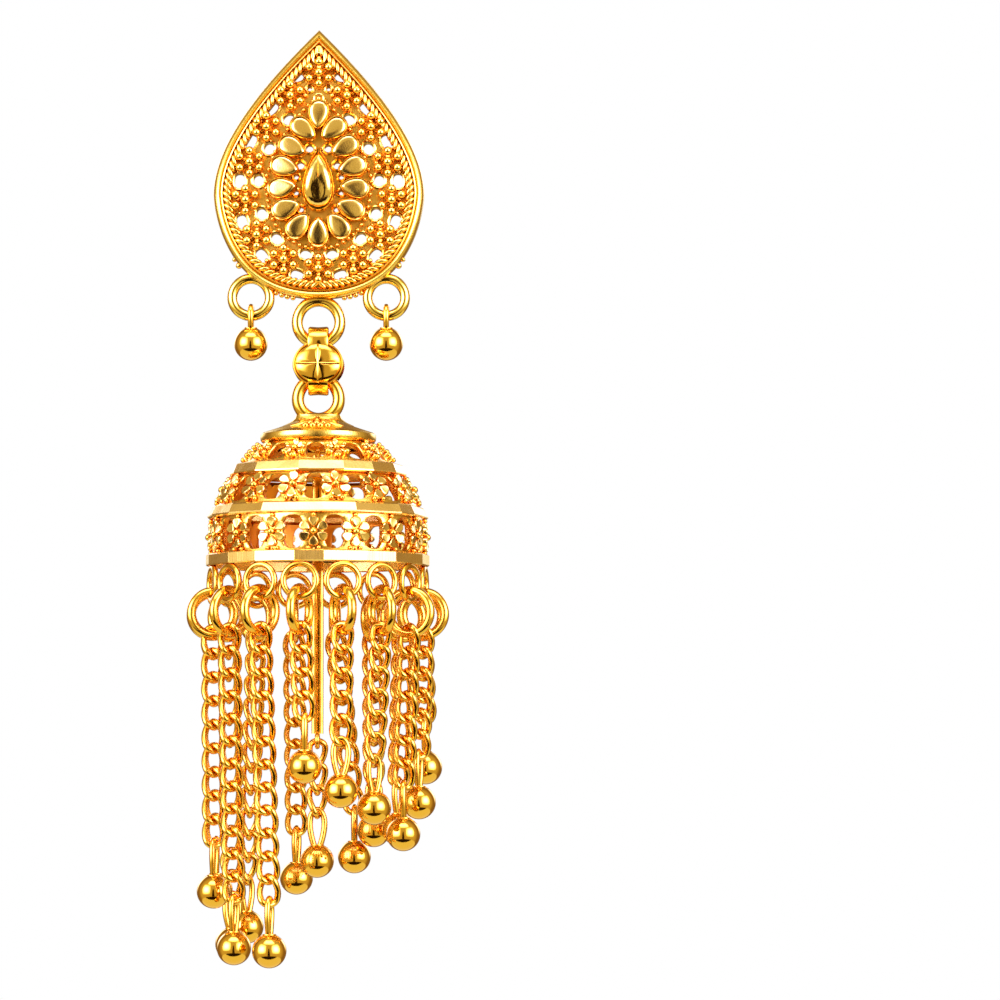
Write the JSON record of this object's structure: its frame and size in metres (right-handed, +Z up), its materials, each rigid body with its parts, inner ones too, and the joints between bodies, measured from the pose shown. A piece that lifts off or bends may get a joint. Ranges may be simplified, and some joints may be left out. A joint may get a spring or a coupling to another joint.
{
  "type": "jhumka earring",
  "caption": "Hanging jhumka earring: pierced teardrop stud with an ear post, connector, pierced dome and a tassel of chains with balls.",
  "frame": {"origin": "on the flat back of the stud, where the ear post stands out", "axes": "+Z up as it hangs, -Y out of the front, +X to the right of a viewer"},
  "size_m": [0.0233, 0.0232, 0.0836],
  "materials": {
    "cast_gold": "gold plated casting, polished on its high places and deeper orange in its recesses",
    "bright_gold": "mirror polished gold plate"
  },
  "bodies": {
    "stud": {"stud": "cast_gold", "ear_post": "cast_gold", "side_drop_left": "bright_gold", "side_drop_right": "bright_gold"},
    "connector": {"connector": "bright_gold"},
    "drop": {"dome": "cast_gold", "jump_ring_01": "cast_gold", "jump_ring_02": "cast_gold", "jump_ring_03": "cast_gold", "jump_ring_04": "cast_gold", "jump_ring_05": "cast_gold", "jump_ring_06": "cast_gold", "jump_ring_07": "cast_gold", "jump_ring_08": "cast_gold", "jump_ring_09": "cast_gold", "jump_ring_10": "cast_gold", "jump_ring_11": "cast_gold", "jump_ring_12": "cast_gold", "jump_ring_13": "cast_gold", "jump_ring_14": "cast_gold", "jump_ring_15": "cast_gold", "jump_ring_16": "cast_gold", "chain_01": "cast_gold", "chain_02": "cast_gold", "chain_03": "cast_gold", "chain_04": "cast_gold", "chain_05": "cast_gold", "chain_06": "cast_gold", "chain_07": "cast_gold", "chain_08": "cast_gold", "chain_09": "cast_gold", "chain_10": "cast_gold", "chain_11": "cast_gold", "chain_12": "cast_gold", "chain_13": "cast_gold", "chain_14": "cast_gold", "chain_15": "cast_gold", "chain_16": "cast_gold", "ball_drop_01": "bright_gold", "ball_drop_02": "bright_gold", "ball_drop_03": "bright_gold", "ball_drop_04": "bright_gold", "ball_drop_05": "bright_gold", "ball_drop_06": "bright_gold", "ball_drop_07": "bright_gold", "ball_drop_08": "bright_gold", "ball_drop_09": "bright_gold", "ball_drop_10": "bright_gold", "ball_drop_11": "bright_gold", "ball_drop_12": "bright_gold", "ball_drop_13": "bright_gold", "ball_drop_14": "bright_gold", "ball_drop_15": "bright_gold", "ball_drop_16": "bright_gold", "centre_bar": "cast_gold", "centre_chain": "cast_gold", "centre_ball_drop": "bright_gold"}
  },
  "joints": [
    {"name": "connector_swing", "type": "hinge", "parent": "stud", "child": "connector", "pos_m": [0, -0.00055, -0.01451], "axis": [1, 0, 0], "range_deg": [-40, 40]},
    {"name": "dome_swing", "type": "hinge", "parent": "connector", "child": "drop", "pos_m": [0, -0.00055, -0.01949], "axis": [0, 1, 0], "range_deg": [-35, 35]}
  ]
}
